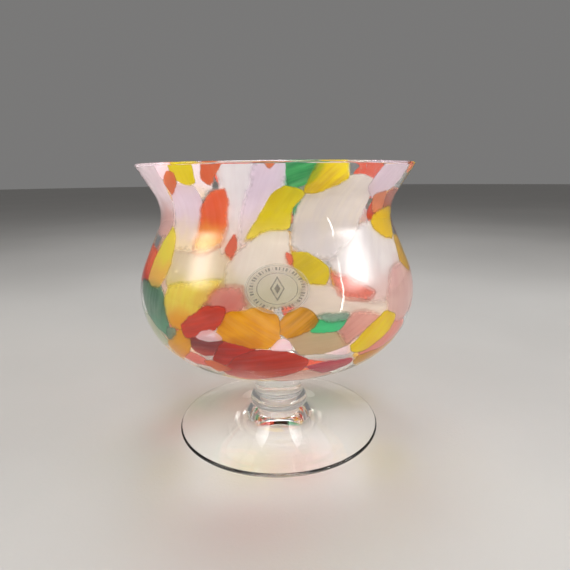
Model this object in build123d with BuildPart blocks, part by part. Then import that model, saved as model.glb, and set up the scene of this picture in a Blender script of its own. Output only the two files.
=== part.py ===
"""Footed art glass bowl: coloured chips cased in clear blown glass, on a clear stem and foot.

Z is up, the origin is the middle of the resting plane, and the front of the bowl faces -Y.
"""

import os
from math import acos, atan2, cos, degrees, hypot, pi, radians, sin, tan

from build123d import *

# ---- Driving dimensions, mm -------------------------------------------------------------------
HEIGHT = 154.0  # resting plane to the top of the rim
BOWL_BOTTOM = 40.5  # lowest point of the outside of the bowl
FLARE_ANGLE = 31.0  # how far the flared lip leans out from upright, degrees
NECK_RADIUS, NECK_HEIGHT, NECK_CURVE = 63.0, 129.0, 20.0  # the pinched neck under the lip
BELLY_RADIUS, BELLY_HEIGHT, BELLY_CURVE = 76.4, 86.0, 40.0  # the wide belly

CASING = 1.0  # clear glass over the chips
CHIP_THICKNESS = 0.8
WALL = 2.8  # full wall, casing to inside
CHIP_TOP = HEIGHT - 0.8  # the chips stop just under the fire-polished rim
RIM_OUTER_ROUND, RIM_INNER_ROUND = 1.0, 0.6

STEM_WAIST_RADIUS, STEM_WAIST_HEIGHT = 14.2, 21.6
STEM_TOP_RADIUS, STEM_FOOT_RADIUS = 18.5, 14.4
COLLAR_RADIUS, COLLAR_WIDEST, COLLAR_TOP, COLLAR_BOTTOM = 17.2, 15.2, 19.4, 12.6
COLLAR_TOP_RADIUS, COLLAR_BOTTOM_RADIUS = 14.6, 16.2

FOOT_RADIUS, FOOT_EDGE = 60.0, 2.4
REST_OUTER_RADIUS, REST_INNER_RADIUS = 58.2, 50.0  # the flat ring that the bowl stands on
FOOT_HOLLOW, PONTIL_RADIUS = 3.2, 11.0  # shallow hollow under the foot and its ground centre

LABEL_WIDTH, LABEL_HEIGHT, LABEL_DOWN, LABEL_FILM = 28.0, 21.5, 57.5, 0.15

CHIP_REACH = 14.0  # how far a chip's outline is carried through the curved wall, each way
CRUMB = 3.0  # a trimming smaller than this, in mm3, melts into the clear glass

# ---- The wall's outline: lip, neck, shoulder, belly and base, each tangent to the next --------
neck_axis = (NECK_RADIUS + NECK_CURVE, NECK_HEIGHT)
belly_axis = (BELLY_RADIUS - BELLY_CURVE, BELLY_HEIGHT)
drop = BELLY_HEIGHT - BOWL_BOTTOM
# the shallow dish that closes the bottom of the bowl, tangent to the belly
BASE_CURVE = (belly_axis[0] ** 2 + drop**2 - BELLY_CURVE**2) / (2 * (drop - BELLY_CURVE))
base_axis = (0.0, BOWL_BOTTOM + BASE_CURVE)
lip = radians(FLARE_ANGLE)
between = (neck_axis[0] - belly_axis[0], neck_axis[1] - belly_axis[1])
shoulder = atan2(between[1], between[0]) - acos((NECK_CURVE + BELLY_CURVE) / hypot(*between))
base = atan2(belly_axis[0], base_axis[1] - belly_axis[1])


def on_arc(centre, radius, angle):
    """The point at an angle above the outward direction on one of the outline's arcs."""
    return (centre[0] + radius * cos(angle), centre[1] + radius * sin(angle))


def wall_joints(depth, top):
    """Ends of the outline's five stretches, a depth in from the outside of the glass."""
    neck = NECK_CURVE + depth
    lip_end = on_arc(neck_axis, -neck, -lip)
    rim = (lip_end[0] + (top - lip_end[1]) * tan(lip), top)
    return [
        rim,
        lip_end,
        on_arc(neck_axis, -neck, shoulder),
        on_arc(belly_axis, BELLY_CURVE - depth, shoulder),
        on_arc(belly_axis, BELLY_CURVE - depth, base - pi / 2),
        (0.0, BOWL_BOTTOM + depth),
    ]


def wall_outline(depth, top):
    """Draw the outline from the rim down to the axis, a depth in from the outside."""
    rim, lip_end, neck_end, belly_start, belly_end, bottom = wall_joints(depth, top)
    Line(rim, lip_end)
    CenterArc(neck_axis, NECK_CURVE + depth, 180 - FLARE_ANGLE, FLARE_ANGLE + degrees(shoulder))
    Line(neck_end, belly_start)
    CenterArc(belly_axis, BELLY_CURVE - depth, degrees(base) - 90, degrees(shoulder - base) + 90)
    CenterArc(base_axis, BASE_CURVE - depth, -90, degrees(base))


def shell_profile(outer, inner, top):
    """Draw the closed outline of a glass layer between two depths."""
    wall_outline(outer, top)
    wall_outline(inner, top)
    Line(wall_joints(outer, top)[0], wall_joints(inner, top)[0])
    Line(wall_joints(outer, top)[-1], wall_joints(inner, top)[-1])


def filled_profile(depth, top):
    """Draw the closed outline of everything within the wall, from a depth inwards."""
    wall_outline(depth, top)
    Polyline(wall_joints(depth, top)[0], (0, top), wall_joints(depth, top)[-1])


lip_run = (HEIGHT - wall_joints(0, HEIGHT)[1][1]) / cos(lip)
neck_run = NECK_CURVE * (lip + shoulder)
shoulder_ends = wall_joints(0, HEIGHT)[2:4]
shoulder_run = hypot(shoulder_ends[0][0] - shoulder_ends[1][0], shoulder_ends[0][1] - shoulder_ends[1][1])
belly_run = BELLY_CURVE * (shoulder + pi / 2 - base)


def wall_station(down):
    """Radius, height and outward tilt of the outside of the glass, a distance down from the rim."""
    if down < lip_run:
        end = wall_joints(0, HEIGHT)[1]
        left = lip_run - down
        return end[0] + left * sin(lip), end[1] + left * cos(lip), -lip
    down -= lip_run
    if down < neck_run:
        tilt = down / NECK_CURVE - lip
        return *on_arc(neck_axis, -NECK_CURVE, tilt), tilt
    down -= neck_run
    if down < shoulder_run:
        (start_r, start_z), (end_r, end_z) = shoulder_ends
        share = down / shoulder_run
        return start_r + (end_r - start_r) * share, start_z + (end_z - start_z) * share, shoulder
    down -= shoulder_run
    if down < belly_run:
        tilt = shoulder - down / BELLY_CURVE
        return *on_arc(belly_axis, BELLY_CURVE, tilt), tilt
    tilt = base - (down - belly_run) / BASE_CURVE - pi / 2
    return *on_arc(base_axis, BASE_CURVE, tilt), tilt


def wall_plane(azimuth, down):
    """The plane that touches the outside of the bowl, its x along the girth and its y up."""
    radius, height, tilt = wall_station(down)
    turn = radians(azimuth)
    out = (sin(turn), -cos(turn))
    return Plane(
        origin=(radius * out[0], radius * out[1], height),
        x_dir=(cos(turn), sin(turn), 0),
        z_dir=(cos(tilt) * out[0], cos(tilt) * out[1], sin(tilt)),
    )


# ---- The coloured chips ------------------------------------------------------------------------
# Each chip is laid out by its corners: (degrees round from the front, mm down the wall from the rim).
# A chip laid later is melted around the ones before it.
CHIPS = {
    "red_chip_left_belly": [[(-31, 73), (-24, 67), (-18, 67), (-19, 73), (-28, 80), (-34, 83), (-35, 78)]],
    "amber_chip_front": [
        [(-12, 68), (-5, 67), (0, 70), (0, 80), (-4, 85), (-13, 83), (-20, 80), (-19, 71)]
    ],
    "amber_chip_front_right": [[(2, 70), (5, 67), (9, 67), (13, 72), (10, 76), (3, 79), (0, 75)]],
    "red_chip_front_base": [
        [(-20, 98), (-9, 87), (2, 87), (10, 93), (9, 100), (-2, 107), (-16, 113), (-23, 107)]
    ],
    "red_chip_left_base": [[(-18, 82), (-9, 79), (-5, 80), (-9, 87), (-21, 98), (-25, 95)]],
    "lemon_chip_left_rim": [[(-37, 1), (-28, 1), (-30, 9), (-33, 12), (-41, 9)]],
    "lemon_chip_right_rim": [[(16, 2), (20, 1), (26, 9), (18, 14), (11, 15), (12, 9)]],
    "lemon_chip_front_neck": [[(3, 12), (11, 16), (6, 23), (5, 31), (-4, 32), (-12, 36), (-9, 30)]],
    "lemon_chip_right_base": [[(41, 74), (48, 78), (46, 84), (36, 92), (30, 92), (27, 87)]],
    "lemon_chip_right_neck": [[(52, 26), (72, 26), (68, 36), (60, 40), (51, 37), (46, 31)]],
    "lemon_chip_left_shoulder": [[(-52, 33), (-49, 36), (-46, 50), (-49, 62), (-59, 61), (-60, 50)]],
    "olive_chip_front": [[(6, 42), (12, 43), (19, 50), (17, 56), (11, 55), (7, 50)]],
    "olive_chip_left_belly": [[(-42, 61), (-33, 58), (-22, 56), (-25, 63), (-33, 78), (-40, 79), (-44, 68)]],
    "amber_chip_left_base": [[(-43, 86), (-36, 80), (-33, 84), (-36, 93), (-47, 102), (-49, 94)]],
    "amber_chip_right_base": [[(64, 93), (50, 100), (35, 105), (33, 97), (46, 97)]],
    "amber_chip_right_shoulder": [[(66, 40), (80, 44), (80, 56), (68, 60), (61, 52)]],
    "emerald_chip_front_rim": [[(4, 1), (17, 1), (14, 7), (9, 13), (4, 12)]],
    "emerald_chip_front_belly": [[(11, 77), (13, 72), (23, 74), (20, 78)]],
    "teal_chip_left_belly": [[(-66, 64), (-48, 62), (-44, 70), (-44, 86), (-58, 78)]],
    "orange_chip_left_rim": [[(-21, 1), (-14, 1), (-21, 6), (-24, 12), (-27, 9)]],
    "orange_chip_left_neck": [[(-25, 17), (-20, 15), (-21, 24), (-23, 38), (-30, 43), (-34, 42), (-32, 24)]],
    "orange_chip_right_neck": [[(45, 18), (54, 17), (56, 24), (50, 27), (46, 24)]],
    "red_chip_right_neck": [[(56, 17), (76, 18), (76, 25), (57, 24)]],
    "red_chip_right_belly": [[(20, 53), (28, 57), (35, 63), (33, 65), (22, 61)]],
    "rose_chip_front_left": [[(-28, 64), (-21, 59), (-13, 58), (-11, 64), (-17, 70), (-22, 66)]],
    "maroon_chip_left_base": [[(-33, 84), (-19, 82), (-20, 88), (-26, 92), (-32, 91)]],
    "crimson_chip_front_base": [[(11, 98), (20, 96), (30, 97), (31, 101), (20, 107)]],
    "pink_chip_front_right": [[(22, 77), (25, 73), (31, 72), (37, 76), (29, 81), (25, 84)]],
    "pink_chip_right_belly": [[(50, 58), (57, 56), (72, 63), (66, 74), (57, 80), (46, 76), (45, 67)]],
    "pink_chip_right_base": [[(50, 81), (56, 82), (61, 88), (50, 95), (37, 97), (33, 94), (44, 87)]],
    "pink_chip_left_base": [[(-36, 93), (-30, 95), (-28, 100), (-37, 102), (-42, 98)]],
    "lilac_chip_left_flare": [[(-84, 1), (-48, 1), (-50, 18), (-55, 38), (-72, 38), (-86, 20)]],
    "lilac_chip_left_neck": [[(-44, 13), (-33, 13), (-33, 28), (-35, 42), (-49, 42), (-49, 24)]],
    "lilac_chip_front_rim": [[(-6, 4), (4, 3), (0, 15), (-6, 27), (-13, 36), (-13, 26), (-7, 12)]],
    "lilac_chip_right_rim": [[(46, 1), (57, 1), (60, 9), (54, 15), (44, 19), (38, 13)]],
    "white_chip_front_rim": [[(-16, 1), (-6, 1), (-6, 14), (-13, 28), (-21, 41), (-24, 32), (-20, 14)]],
    "white_chip_front": [
        [(-10, 38), (-5, 33), (3, 33), (4, 46), (8, 54), (6, 63), (-10, 66), (-17, 58), (-18, 49)]
    ],
    "white_chip_right_neck": [
        [(15, 12), (32, 8), (40, 13), (41, 20), (35, 34), (27, 41), (18, 47), (6, 40), (7, 28)]
    ],
    "white_chip_right_shoulder": [
        [(29, 40), (44, 36), (60, 43), (54, 54), (44, 63), (36, 62), (28, 55), (24, 47)]
    ],
    "white_chip_right_belly": [
        [(12, 58), (22, 62), (36, 66), (44, 69), (40, 74), (28, 72), (11, 68), (8, 64)]
    ],
    "white_chip_left_belly": [[(-47, 43), (-33, 44), (-22, 42), (-19, 52), (-23, 58), (-40, 60)]],
    "white_chip_left_base": [[(-64, 80), (-54, 80), (-48, 91), (-56, 95), (-68, 90)]],
    "white_chip_front_base": [[(4, 80), (6, 77), (20, 79), (26, 85), (22, 88), (8, 89)]],
    "white_chip_bottom": [[(-6, 111), (2, 105), (12, 102), (24, 110), (10, 116)]],
    "small_orange_chips": [
        [(-42, 5), (-38, 6), (-41, 12), (-47, 17), (-48, 11)],
        [(-5, 1), (3, 1), (-2, 4)],
        [(60, 1), (72, 1), (66, 7)],
        [(-30, 97), (-25, 95), (-19, 101), (-27, 106)],
    ],
    "small_red_chips": [[(-17, 33), (-15, 40), (-17, 46), (-21, 41)], [(3, 41), (6, 42), (6, 49), (4, 47)]],
    "small_white_chips": [
        [(-47, 1), (-38, 1), (-41, 7), (-48, 9)],
        [(0, 80), (3, 80), (5, 86), (-3, 86)],
        [(-31, 83), (-23, 76), (-18, 82)],
    ],
    "small_teal_chips": [[(12, 69), (25, 70), (24, 74), (13, 72)], [(-44, 80), (-38, 79), (-39, 84), (-47, 89)]],
    "white_chips_round_back": [],
    "yellow_chips_round_back": [[(-64, 99), (-50, 104), (-56, 114), (-70, 110)]],
    "red_chips_round_back": [
        [(-78, 48), (-61, 49), (-60, 61), (-74, 62)],
        [(73, 62), (92, 58), (90, 80), (68, 80)],
    ],
    "green_chips_round_back": [[(-92, 84), (-74, 82), (-72, 96), (-88, 98)]],
}

# The chips out of sight of the front: rows of shards round the back and under the bowl.
BACK_COLOURS = ["white", "yellow", "red", "white", "green", "red", "white", "yellow"]
BACK_ROWS = [  # mm down the wall, first and last azimuth, how many, half width in mm, half height in mm
    (12, 92, 262, 7, 15.0, 10.0),
    (35, 100, 268, 7, 14.0, 12.0),
    (60, 96, 266, 7, 17.0, 12.0),
    (86, 104, 250, 6, 18.0, 12.0),
    (111, 62, 298, 8, 14.5, 11.0),
    (137, 20, 340, 6, 14.0, 12.0),
]
SHARD_CORNERS = [25, 100, 160, 215, 305]  # directions of a shard's five corners


def back_shard(azimuth, down, half_width, half_height, turn):
    """An uneven five-cornered shard, its corners in degrees round and mm down."""
    girth = radians(1) * wall_station(down)[0]
    corners = []
    for direction in SHARD_CORNERS:
        reach = 1 + 0.16 * sin(radians(3 * direction + 130 * turn))
        angle = radians(direction + 14 * sin(2.4 * turn))
        corners.append(
            (azimuth + reach * half_width * cos(angle) / girth, down - reach * half_height * sin(angle))
        )
    return corners


laid = 0
for down, first, last, count, half_width, half_height in BACK_ROWS:
    for place in range(count):
        azimuth = first + (last - first) * place / (count - 1)
        colour = BACK_COLOURS[(laid + down // 9) % len(BACK_COLOURS)]
        shard = back_shard(azimuth, down, half_width, half_height, laid)
        CHIPS[f"{colour}_chips_round_back"].append(shard)
        laid += 1


def touching(one, other):
    """Whether two bounding boxes meet."""
    sizes = (one.size + other.size) / 2
    apart = one.center() - other.center()
    return abs(apart.X) <= sizes.X and abs(apart.Y) <= sizes.Y and abs(apart.Z) <= sizes.Z


# ---- Build --------------------------------------------------------------------------------------
os.makedirs("parts", exist_ok=True)

with BuildPart() as within_casing:
    with BuildSketch(Plane.XZ):
        with BuildLine():
            filled_profile(CASING, CHIP_TOP)
        make_face()
    revolve(axis=Axis.Z)

with BuildPart() as within_chips:
    with BuildSketch(Plane.XZ):
        with BuildLine():
            filled_profile(CASING + CHIP_THICKNESS, HEIGHT)
        make_face()
    revolve(axis=Axis.Z)

shards, pockets = [], []
for name, outlines in CHIPS.items():
    with BuildPart() as shard:
        for outline in outlines:
            azimuth = sum(corner[0] for corner in outline) / len(outline)
            down = sum(corner[1] for corner in outline) / len(outline)
            plane = wall_plane(azimuth, down)
            corners = [plane.to_local_coords(wall_plane(*corner).origin) for corner in outline]
            with BuildSketch(plane):
                with BuildLine():
                    Polyline([(corner.X, corner.Y) for corner in corners], close=True)
                make_face()
            extrude(amount=CHIP_REACH, both=True)
        for earlier in shards:
            if touching(shard.part.bounding_box(), earlier.bounding_box()):
                add(earlier, mode=Mode.SUBTRACT)
    shards += shard.part.solids()
    melted = []
    for piece in shard.part.solids():
        pocket = piece & within_casing.part  # nothing, where a trimming misses the wall
        chip = pocket - within_chips.part if pocket else None
        if chip and chip.volume > CRUMB:
            pockets.append(pocket)
            melted += chip.solids()
    export_step(Compound(label=name, children=melted), f"parts/{name}.step")

with BuildPart() as outer_casing:
    with BuildSketch(Plane.XZ):
        with BuildLine():
            shell_profile(0, CASING + CHIP_THICKNESS, HEIGHT)
        make_face()
    revolve(axis=Axis.Z)
    fillet(edges().group_by(Axis.Z)[-1].sort_by(SortBy.LENGTH)[-1], RIM_OUTER_ROUND)
    add(pockets, mode=Mode.SUBTRACT)
outer_casing.part.label = "outer_casing"
export_step(outer_casing.part, "parts/outer_casing.step")

with BuildPart() as inner_gather:
    with BuildSketch(Plane.XZ):
        with BuildLine():
            shell_profile(CASING + CHIP_THICKNESS, WALL, HEIGHT)
        make_face()
    revolve(axis=Axis.Z)
    fillet(edges().group_by(Axis.Z)[-1].sort_by(SortBy.LENGTH)[0], RIM_INNER_ROUND)
inner_gather.part.label = "inner_gather"
export_step(inner_gather.part, "parts/inner_gather.step")

stem_spread = degrees(atan2(STEM_TOP_RADIUS, BASE_CURVE))
stem_top = on_arc(base_axis, BASE_CURVE, radians(stem_spread - 90))
with BuildPart() as stem:
    with BuildSketch(Plane.XZ):
        with BuildLine():
            CenterArc(base_axis, BASE_CURVE, -90, stem_spread)
            Spline(
                stem_top,
                (STEM_WAIST_RADIUS, STEM_WAIST_HEIGHT),
                (STEM_FOOT_RADIUS, COLLAR_TOP),
                tangents=[(-1, -1.2), (0.45, -1)],
            )
            Polyline((STEM_FOOT_RADIUS, COLLAR_TOP), (0, COLLAR_TOP), (0, BOWL_BOTTOM))
        make_face()
    revolve(axis=Axis.Z)
stem.part.label = "stem"
export_step(stem.part, "parts/stem.step")

with BuildPart() as stem_collar:
    with BuildSketch(Plane.XZ):
        with BuildLine():
            Polyline(
                (COLLAR_TOP_RADIUS, COLLAR_TOP),
                (0, COLLAR_TOP),
                (0, COLLAR_BOTTOM),
                (COLLAR_BOTTOM_RADIUS, COLLAR_BOTTOM),
            )
            ThreePointArc(
                (COLLAR_BOTTOM_RADIUS, COLLAR_BOTTOM),
                (COLLAR_RADIUS, COLLAR_WIDEST),
                (COLLAR_TOP_RADIUS, COLLAR_TOP),
            )
        make_face()
    revolve(axis=Axis.Z)
stem_collar.part.label = "stem_collar"
export_step(stem_collar.part, "parts/stem_collar.step")

with BuildPart() as foot:
    with BuildSketch(Plane.XZ):
        with BuildLine():
            ThreePointArc((COLLAR_BOTTOM_RADIUS, COLLAR_BOTTOM), (34, 5.2), (FOOT_RADIUS - 1, FOOT_EDGE))
            Polyline(
                (FOOT_RADIUS - 1, FOOT_EDGE),
                (FOOT_RADIUS, FOOT_EDGE - 0.9),
                (FOOT_RADIUS, 1.0),
                (REST_OUTER_RADIUS, 0),
                (REST_INNER_RADIUS, 0),
                (PONTIL_RADIUS, FOOT_HOLLOW),
                (0, FOOT_HOLLOW),
                (0, COLLAR_BOTTOM),
                (COLLAR_BOTTOM_RADIUS, COLLAR_BOTTOM),
            )
        make_face()
    revolve(axis=Axis.Z)
foot.part.label = "foot"
export_step(foot.part, "parts/foot.step")

with BuildPart() as maker_label:
    with BuildSketch(wall_plane(0, LABEL_DOWN)):
        Ellipse(LABEL_WIDTH / 2, LABEL_HEIGHT / 2)
    extrude(amount=4.0, both=True)
    with BuildSketch(Plane.XZ):
        with BuildLine():
            shell_profile(-LABEL_FILM, 0, HEIGHT)
        make_face()
    revolve(axis=Axis.Z, mode=Mode.INTERSECT)
maker_label.part.label = "maker_label"
export_step(maker_label.part, "parts/maker_label.step")
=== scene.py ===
from collections import namedtuple
from math import acos, atan2, cos, hypot, pi, radians, sin, sqrt, tan

import bmesh
import bpy
from mathutils import Matrix, Vector, geometry, noise


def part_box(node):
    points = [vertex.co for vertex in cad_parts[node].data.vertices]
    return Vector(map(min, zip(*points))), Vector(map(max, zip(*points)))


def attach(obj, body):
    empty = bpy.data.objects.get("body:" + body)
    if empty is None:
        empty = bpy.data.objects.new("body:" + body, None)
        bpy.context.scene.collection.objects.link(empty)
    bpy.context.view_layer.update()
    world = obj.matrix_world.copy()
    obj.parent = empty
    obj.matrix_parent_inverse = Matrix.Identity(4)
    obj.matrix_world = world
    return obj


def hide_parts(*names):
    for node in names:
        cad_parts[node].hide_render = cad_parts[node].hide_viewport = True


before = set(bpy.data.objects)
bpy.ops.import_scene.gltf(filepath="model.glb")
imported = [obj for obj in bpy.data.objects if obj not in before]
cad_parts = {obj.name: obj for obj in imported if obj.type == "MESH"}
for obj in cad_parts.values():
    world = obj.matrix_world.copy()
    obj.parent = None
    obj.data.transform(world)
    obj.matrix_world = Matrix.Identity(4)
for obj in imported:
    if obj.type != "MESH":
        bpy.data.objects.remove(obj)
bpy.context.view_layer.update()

# Footed art glass bowl. Lengths are millimetres until a mesh is made; MM turns them into metres.
MM = 0.001

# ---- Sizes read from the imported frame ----
casing_low, casing_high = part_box("outer_casing")
stem_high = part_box("stem")[1]
collar_low, collar_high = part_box("stem_collar")
foot_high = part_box("foot")[1]
label_low, label_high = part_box("maker_label")
HEIGHT = casing_high.z / MM
BOWL_BOTTOM = casing_low.z / MM
BELLY_RADIUS = casing_high.x / MM
STEM_JOINT = stem_high.x / MM  # radius at which the stem meets the bowl
COLLAR_RADIUS = collar_high.x / MM
COLLAR_TOP, COLLAR_BOTTOM = collar_high.z / MM, collar_low.z / MM
FOOT_RADIUS = foot_high.x / MM
LABEL_WIDTH = (label_high.x - label_low.x) / MM

# ---- The same wall as the frame's, in mm ----
FLARE = radians(31)  # how far the lip leans out
NECK_RADIUS, NECK_HEIGHT, NECK_CURVE = 63.0, 129.0, 20.0
BELLY_HEIGHT, BELLY_CURVE = 86.0, 40.0
CASING, JOINT_DEPTH, WALL = 1.0, 1.8, 2.8  # depths of the chips, the inner gather and the inside

neck_axis = (NECK_RADIUS + NECK_CURVE, NECK_HEIGHT)
belly_axis = (BELLY_RADIUS - BELLY_CURVE, BELLY_HEIGHT)
drop = BELLY_HEIGHT - BOWL_BOTTOM
BASE_CURVE = (belly_axis[0] ** 2 + drop**2 - BELLY_CURVE**2) / (2 * (drop - BELLY_CURVE))
base_axis = (0.0, BOWL_BOTTOM + BASE_CURVE)
between = (neck_axis[0] - belly_axis[0], neck_axis[1] - belly_axis[1])
SHOULDER = atan2(between[1], between[0]) - acos((NECK_CURVE + BELLY_CURVE) / hypot(*between))
BASE = atan2(belly_axis[0], base_axis[1] - belly_axis[1])


def on_arc(centre, radius, angle):
    """The point at an angle above the outward direction on an arc of the wall."""
    return (centre[0] + radius * cos(angle), centre[1] + radius * sin(angle))


lip_end = on_arc(neck_axis, -NECK_CURVE, -FLARE)
neck_end = on_arc(neck_axis, -NECK_CURVE, SHOULDER)
belly_start = on_arc(belly_axis, BELLY_CURVE, SHOULDER)
LIP_RUN = (HEIGHT - lip_end[1]) / cos(FLARE)
NECK_RUN = NECK_CURVE * (FLARE + SHOULDER)
SHOULDER_RUN = hypot(neck_end[0] - belly_start[0], neck_end[1] - belly_start[1])
BELLY_RUN = BELLY_CURVE * (SHOULDER + pi / 2 - BASE)
BASE_RUN = BASE_CURVE * BASE
WALL_RUN = LIP_RUN + NECK_RUN + SHOULDER_RUN + BELLY_RUN + BASE_RUN


def wall_station(down):
    """Radius, height and outward tilt of the outside of the glass, a distance down from the rim."""
    if down < LIP_RUN:
        left = LIP_RUN - down
        return lip_end[0] + left * sin(FLARE), lip_end[1] + left * cos(FLARE), -FLARE
    down -= LIP_RUN
    if down < NECK_RUN:
        tilt = down / NECK_CURVE - FLARE
        return *on_arc(neck_axis, -NECK_CURVE, tilt), tilt
    down -= NECK_RUN
    if down < SHOULDER_RUN:
        share = down / SHOULDER_RUN
        return *[a + (b - a) * share for a, b in zip(neck_end, belly_start)], SHOULDER
    down -= SHOULDER_RUN
    if down < BELLY_RUN:
        tilt = SHOULDER - down / BELLY_CURVE
        return *on_arc(belly_axis, BELLY_CURVE, tilt), tilt
    tilt = BASE - (down - BELLY_RUN) / BASE_CURVE - pi / 2
    return *on_arc(base_axis, BASE_CURVE, tilt), tilt


def in_wall(down, depth):
    """Radius and height of a point a distance down from the rim and a depth into the glass."""
    radius, height, tilt = wall_station(down)
    return max(radius - depth * cos(tilt), 0.0), height - depth * sin(tilt)


def on_bowl(azimuth, down, depth):
    """The point in metres at an azimuth (degrees round from the front), down and into the wall."""
    radius, height = in_wall(down, depth)
    turn = radians(azimuth)
    return Vector((radius * sin(turn), -radius * cos(turn), height)) * MM


# ---- Mesh helpers ----
def linked(name, data):
    """A new object in the scene, with its data."""
    made = bpy.data.objects.new(name, data)
    bpy.context.scene.collection.objects.link(made)
    return made


def new_piece(name, mesh, materials, nodes):
    """Adds a mesh as a piece that stands for some CAD nodes and rides on the part's one body."""
    mesh.name = name
    piece = linked(name, mesh)
    for material in materials:
        mesh.materials.append(material)
    for polygon in mesh.polygons:
        polygon.use_smooth = True
    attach(piece, "root")
    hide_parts(*nodes)
    return piece


WAVE_ACROSS, WAVE_UP, WAVE_SHARE = 46, 38, 0.75  # hand-worked waves: noise per metre, and share
RIPPLE_ACROSS, RIPPLE_UP, RIPPLE_SHIFT = 120, 90, 7  # the finer ripples on them
NEAR_AXIS = 2  # points this near the axis have no clear inward direction and stay put, mm


def hand_worked(point, breath):
    """Moves a point of an air surface in a little, the way hot glass leaves it, breath in mm."""
    wave = noise.noise(Vector((point.x * WAVE_ACROSS, point.y * WAVE_ACROSS, point.z * WAVE_UP)))
    fine_place = (point.x * RIPPLE_ACROSS + RIPPLE_SHIFT, point.y * RIPPLE_ACROSS, point.z * RIPPLE_UP)
    ripple = noise.noise(Vector(fine_place))
    inward = breath * (1 + WAVE_SHARE * wave + (1 - WAVE_SHARE) * ripple) * MM / 2
    flat = Vector((point.x, point.y, 0))
    if flat.length < NEAR_AXIS * MM:
        return point
    return point - flat.normalized() * inward


def face_outwards(mesh):
    """Turns the faces of a mesh of closed shells so that their normals point out."""
    work = bmesh.new()
    work.from_mesh(mesh)
    bmesh.ops.recalc_face_normals(work, faces=work.faces)
    work.to_mesh(mesh)
    work.free()


def band_face(one, two, step, around):
    """The corners of the face between two rings at a step round, where one may be a single point."""
    after = (step + 1) % around
    corners = [one[step % len(one)], one[after % len(one)]]
    return list(dict.fromkeys(corners + [two[after % len(two)], two[step % len(two)]]))


def turned(name, profile, around, breath):
    """A closed solid of revolution. Its profile is rows of (radius, height, material), where material
    is the slot of the band that follows. A fused band, slot 1, isn't an air surface."""
    work = bmesh.new()
    rings = []
    for index, (radius, height, material) in enumerate(profile):
        before = profile[index - 1][2] if index else material
        loose = breath if material == 0 and before == 0 else 0.0
        if radius < 1e-6:
            rings.append([work.verts.new((0, 0, height * MM))])
            continue
        ring = []
        for step in range(around):
            turn = 2 * pi * step / around
            point = Vector((radius * sin(turn), -radius * cos(turn), height)) * MM
            ring.append(work.verts.new(hand_worked(point, loose) if loose else point))
        rings.append(ring)
    for index in range(len(rings) - 1):
        one, two = rings[index], rings[index + 1]
        for step in range(around):
            work.faces.new(band_face(one, two, step, around)).material_index = profile[index][2]
    bmesh.ops.recalc_face_normals(work, faces=work.faces)
    mesh = bpy.data.meshes.new(name)
    work.to_mesh(mesh)
    work.free()
    return mesh


def rounded(corner, before, after, radius, steps):
    """Points of the arc that rounds a corner between the directions of its two neighbours."""
    a = (Vector(before) - Vector(corner)).normalized()
    b = (Vector(after) - Vector(corner)).normalized()
    half = a.angle(b) / 2
    centre = Vector(corner) + (a + b).normalized() * (radius / sin(half))
    start = Vector(corner) + a * (radius / tan(half)) - centre
    end = Vector(corner) + b * (radius / tan(half)) - centre
    points = []
    for step in range(steps + 1):
        way = start.lerp(end, step / steps).normalized() * radius
        points.append(tuple(centre + way))
    return points


# ---- Node helpers ----
def linear(hex_colour):
    """A linear RGBA colour from its sRGB hex form."""
    channels = [int(hex_colour[i : i + 2], 16) / 255 for i in (0, 2, 4)]
    return (*[c / 12.92 if c <= 0.04045 else ((c + 0.055) / 1.055) ** 2.4 for c in channels], 1)


class Nodes:
    """The node tree of a new material, or of a lamp, with short calls for the nodes used here."""

    def __init__(self, name, lamp=None):
        self.owner = lamp or bpy.data.materials.new(name)
        self.owner.use_nodes = True
        self.tree = self.owner.node_tree
        self.tree.nodes.clear()
        self.out = self.add("ShaderNodeOutputLight" if lamp else "ShaderNodeOutputMaterial")

    def add(self, kind, inputs=None, **settings):
        """A new node with the inputs and settings given."""
        node = self.tree.nodes.new(kind)
        for key, value in settings.items():
            setattr(node, key, value)
        for key, value in (inputs or {}).items():
            self.put(node.inputs[key], value)
        return node

    def put(self, socket, value):
        """Links a socket to an output, or sets it to a constant."""
        if isinstance(value, bpy.types.NodeSocket):
            self.tree.links.new(value, socket)
        else:
            socket.default_value = value

    def attribute(self, name, output="Fac"):
        return self.add("ShaderNodeAttribute", attribute_name=name).outputs[output]

    def noise(self, vector, scale, detail=3.0, rough=0.5, distortion=0.0):
        inputs = {"Vector": vector, "Scale": scale, "Detail": detail, "Roughness": rough}
        return self.add("ShaderNodeTexNoise", {**inputs, "Distortion": distortion}).outputs["Fac"]

    def maths(self, operation, *values):
        return self.add("ShaderNodeMath", dict(enumerate(values)), operation=operation).outputs[0]

    def ramp(self, value, low, high, to_low=0.0, to_high=1.0, smooth=True):
        """The value's way from low to high, mapped to another range and held at its ends."""
        inputs = dict(enumerate((value, low, high, to_low, to_high)))
        kind = "SMOOTHSTEP" if smooth else "LINEAR"
        return self.add("ShaderNodeMapRange", inputs, interpolation_type=kind).outputs[0]

    def mix(self, factor, one, two):
        return self.add("ShaderNodeMix", {0: factor, 6: one, 7: two}, data_type="RGBA").outputs[2]

    def bump(self, height, distance, under=None):
        node = self.add("ShaderNodeBump", {"Strength": 1.0, "Distance": distance, "Height": height})
        if under is not None:
            self.put(node.inputs["Normal"], under)
        return node.outputs[0]

    def shader_mix(self, factor, one, two):
        return self.add("ShaderNodeMixShader", {0: factor, 1: one, 2: two}).outputs[0]

    def lamps_through(self, shader, colour):
        """Lets lamplight through a shader, tinted, so that glass doesn't cast a solid shadow."""
        clear = self.add("ShaderNodeBsdfTransparent", {"Color": colour})
        path = self.add("ShaderNodeLightPath")
        return self.shader_mix(path.outputs["Is Shadow Ray"], shader, clear.outputs[0])

    def finish(self, shader):
        self.tree.links.new(shader, self.out.inputs["Surface"])
        return self.owner


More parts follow.
